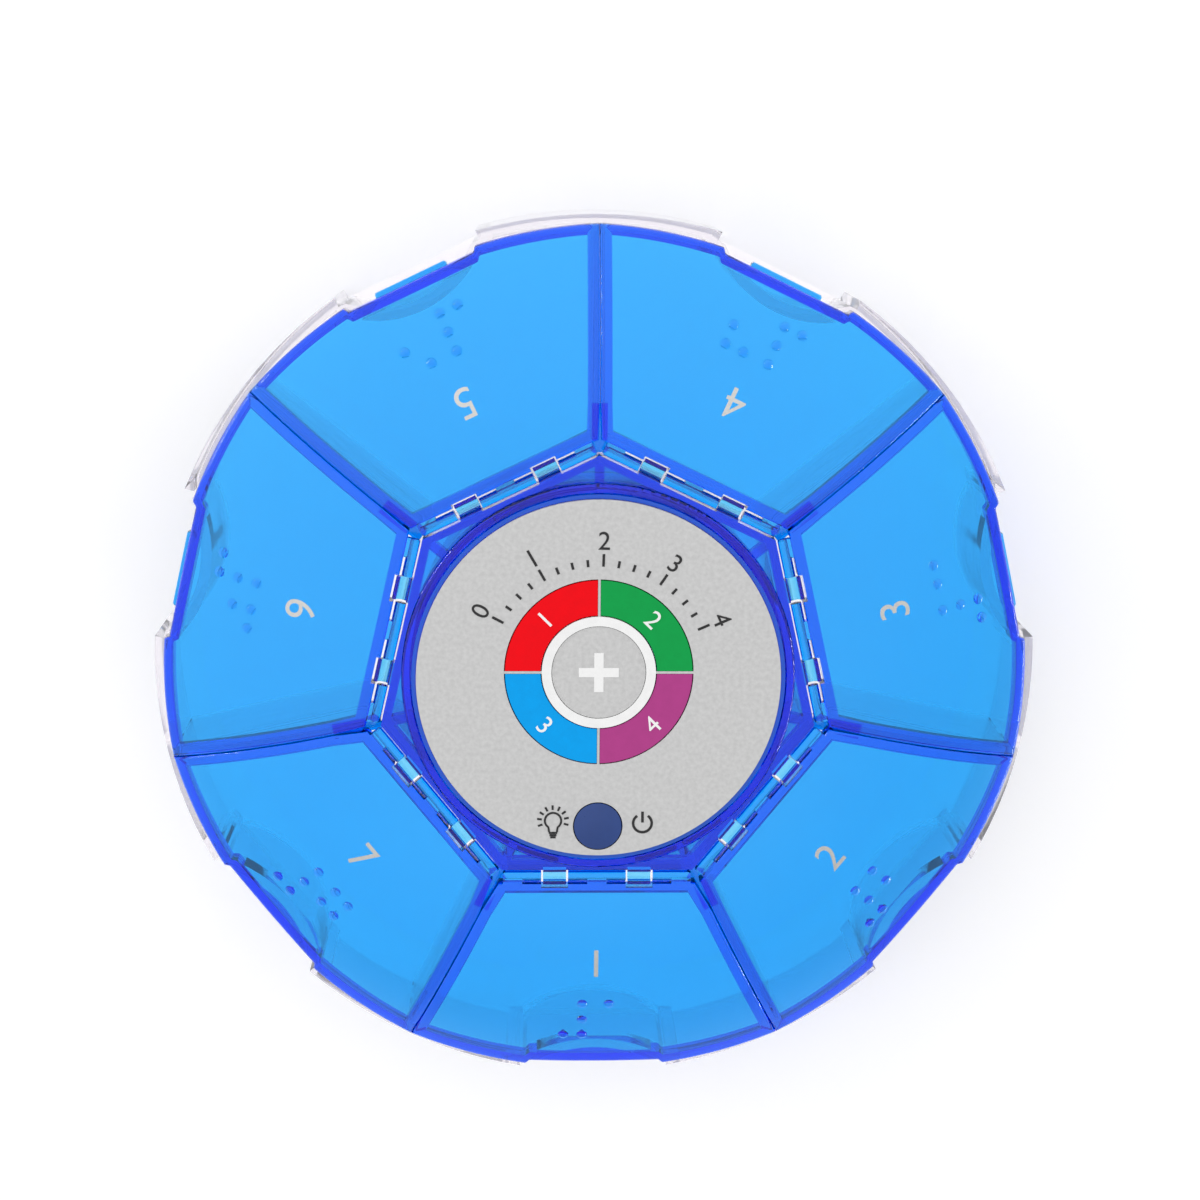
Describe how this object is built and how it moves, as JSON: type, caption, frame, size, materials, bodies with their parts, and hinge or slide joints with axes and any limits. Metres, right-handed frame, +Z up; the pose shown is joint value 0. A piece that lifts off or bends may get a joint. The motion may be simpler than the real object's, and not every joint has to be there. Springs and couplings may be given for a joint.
{
  "type": "round pill box with timer",
  "caption": "Round box of hinged-lid pill compartments with a lift-out reminder timer of coloured keys in the centre.",
  "frame": {"origin": "centre of the underside, on the surface that the box stands on", "axes": "+Z up through the timer, -Y toward lid 1 and the power button"},
  "size_m": [0.116, 0.1151, 0.0301],
  "materials": {
    "tray_clear": "clear moulded plastic, polished",
    "lid_blue": "translucent blue moulded plastic, polished",
    "hub_blue": "translucent blue moulded plastic, polished",
    "case_blue": "dark blue moulded plastic",
    "face_silver": "silver lacquer with a fine grain",
    "ring_white": "white moulded plastic",
    "key_red": "red, satin",
    "key_green": "green, satin",
    "key_cyan": "cyan blue, satin",
    "key_purple": "purple, satin",
    "button_navy": "dark translucent blue, polished",
    "board_green": "circuit board laminate",
    "switch_black": "black moulded plastic",
    "led_white": "clear lamp body",
    "chip_black": "black epoxy",
    "small_steel": "plated steel",
    "capacitor_sleeve": "printed sleeve",
    "buzzer_black": "black moulded plastic",
    "cell_steel": "stainless steel",
    "contact_metal": "spring brass, nickel flash"
  },
  "bodies": {
    "box": {"tray": "tray_clear", "hub_frame": "hub_blue"},
    "lid_1": {"lid_1": "lid_blue"},
    "lid_2": {"lid_2": "lid_blue"},
    "lid_3": {"lid_3": "lid_blue"},
    "lid_4": {"lid_4": "lid_blue"},
    "lid_5": {"lid_5": "lid_blue"},
    "lid_6": {"lid_6": "lid_blue"},
    "lid_7": {"lid_7": "lid_blue"},
    "timer": {"timer_case_top": "case_blue", "timer_case_bottom": "case_blue", "face_plate": "face_silver", "key_guide": "ring_white", "centre_plate": "face_silver", "circuit_board": "board_green", "key_switches": "switch_black", "power_switch": "switch_black", "indicator_led": "led_white", "controller_chip": "chip_black", "timing_crystal": "small_steel", "smoothing_capacitor": "capacitor_sleeve", "buzzer": "buzzer_black", "coin_cell": "cell_steel", "contact_plus": "contact_metal", "contact_minus": "contact_metal", "case_screws": "small_steel"},
    "key_1": {"key_1": "key_red"},
    "key_2": {"key_2": "key_green"},
    "key_3": {"key_3": "key_cyan"},
    "key_4": {"key_4": "key_purple"},
    "power_button": {"power_button": "button_navy"},
    "battery_door": {"battery_door": "case_blue"}
  },
  "joints": [
    {"name": "lid_1_hinge", "type": "hinge", "parent": "box", "child": "lid_1", "pos_m": [0, -0.0266, 0.0272], "axis": [-1, 0, 0], "range_deg": [0, 100]},
    {"name": "lid_2_hinge", "type": "hinge", "parent": "box", "child": "lid_2", "pos_m": [0.0208, -0.01658, 0.0272], "axis": [0.6235, 0.7818, 0], "range_deg": [-100, 0]},
    {"name": "lid_3_hinge", "type": "hinge", "parent": "box", "child": "lid_3", "pos_m": [0.02593, 0.00592, 0.0272], "axis": [0.2225, -0.9749, 0], "range_deg": [0, 100]},
    {"name": "lid_4_hinge", "type": "hinge", "parent": "box", "child": "lid_4", "pos_m": [0.01154, 0.02397, 0.0272], "axis": [-0.901, 0.4339, 0], "range_deg": [-100, 0]},
    {"name": "lid_5_hinge", "type": "hinge", "parent": "box", "child": "lid_5", "pos_m": [-0.01154, 0.02397, 0.0272], "axis": [0.901, 0.4339, 0], "range_deg": [0, 100]},
    {"name": "lid_6_hinge", "type": "hinge", "parent": "box", "child": "lid_6", "pos_m": [-0.02593, 0.00592, 0.0272], "axis": [-0.2225, -0.9749, 0], "range_deg": [-100, 0]},
    {"name": "lid_7_hinge", "type": "hinge", "parent": "box", "child": "lid_7", "pos_m": [-0.0208, -0.01658, 0.0272], "axis": [-0.6235, 0.7818, 0], "range_deg": [0, 45]},
    {"name": "timer_lift", "type": "slide", "parent": "box", "child": "timer", "axis": [0, 0, 1], "range_m": [0, 0.025]},
    {"name": "key_1_press", "type": "slide", "parent": "timer", "child": "key_1", "axis": [0, 0, -1], "range_m": [0, 0.0004], "stiffness_N_per_m": 2500},
    {"name": "key_2_press", "type": "slide", "parent": "timer", "child": "key_2", "axis": [0, 0, -1], "range_m": [0, 0.0004], "stiffness_N_per_m": 2500},
    {"name": "key_3_press", "type": "slide", "parent": "timer", "child": "key_3", "axis": [0, 0, -1], "range_m": [0, 0.0004], "stiffness_N_per_m": 2500},
    {"name": "key_4_press", "type": "slide", "parent": "timer", "child": "key_4", "axis": [0, 0, -1], "range_m": [0, 0.0004], "stiffness_N_per_m": 2500},
    {"name": "power_button_press", "type": "slide", "parent": "timer", "child": "power_button", "axis": [0, 0, -1], "range_m": [0, 0.0004], "stiffness_N_per_m": 2500},
    {"name": "battery_door_turn", "type": "hinge", "parent": "timer", "child": "battery_door", "pos_m": [0, 0, 0.013], "axis": [0, 0, 1], "range_deg": [0, 90]}
  ]
}
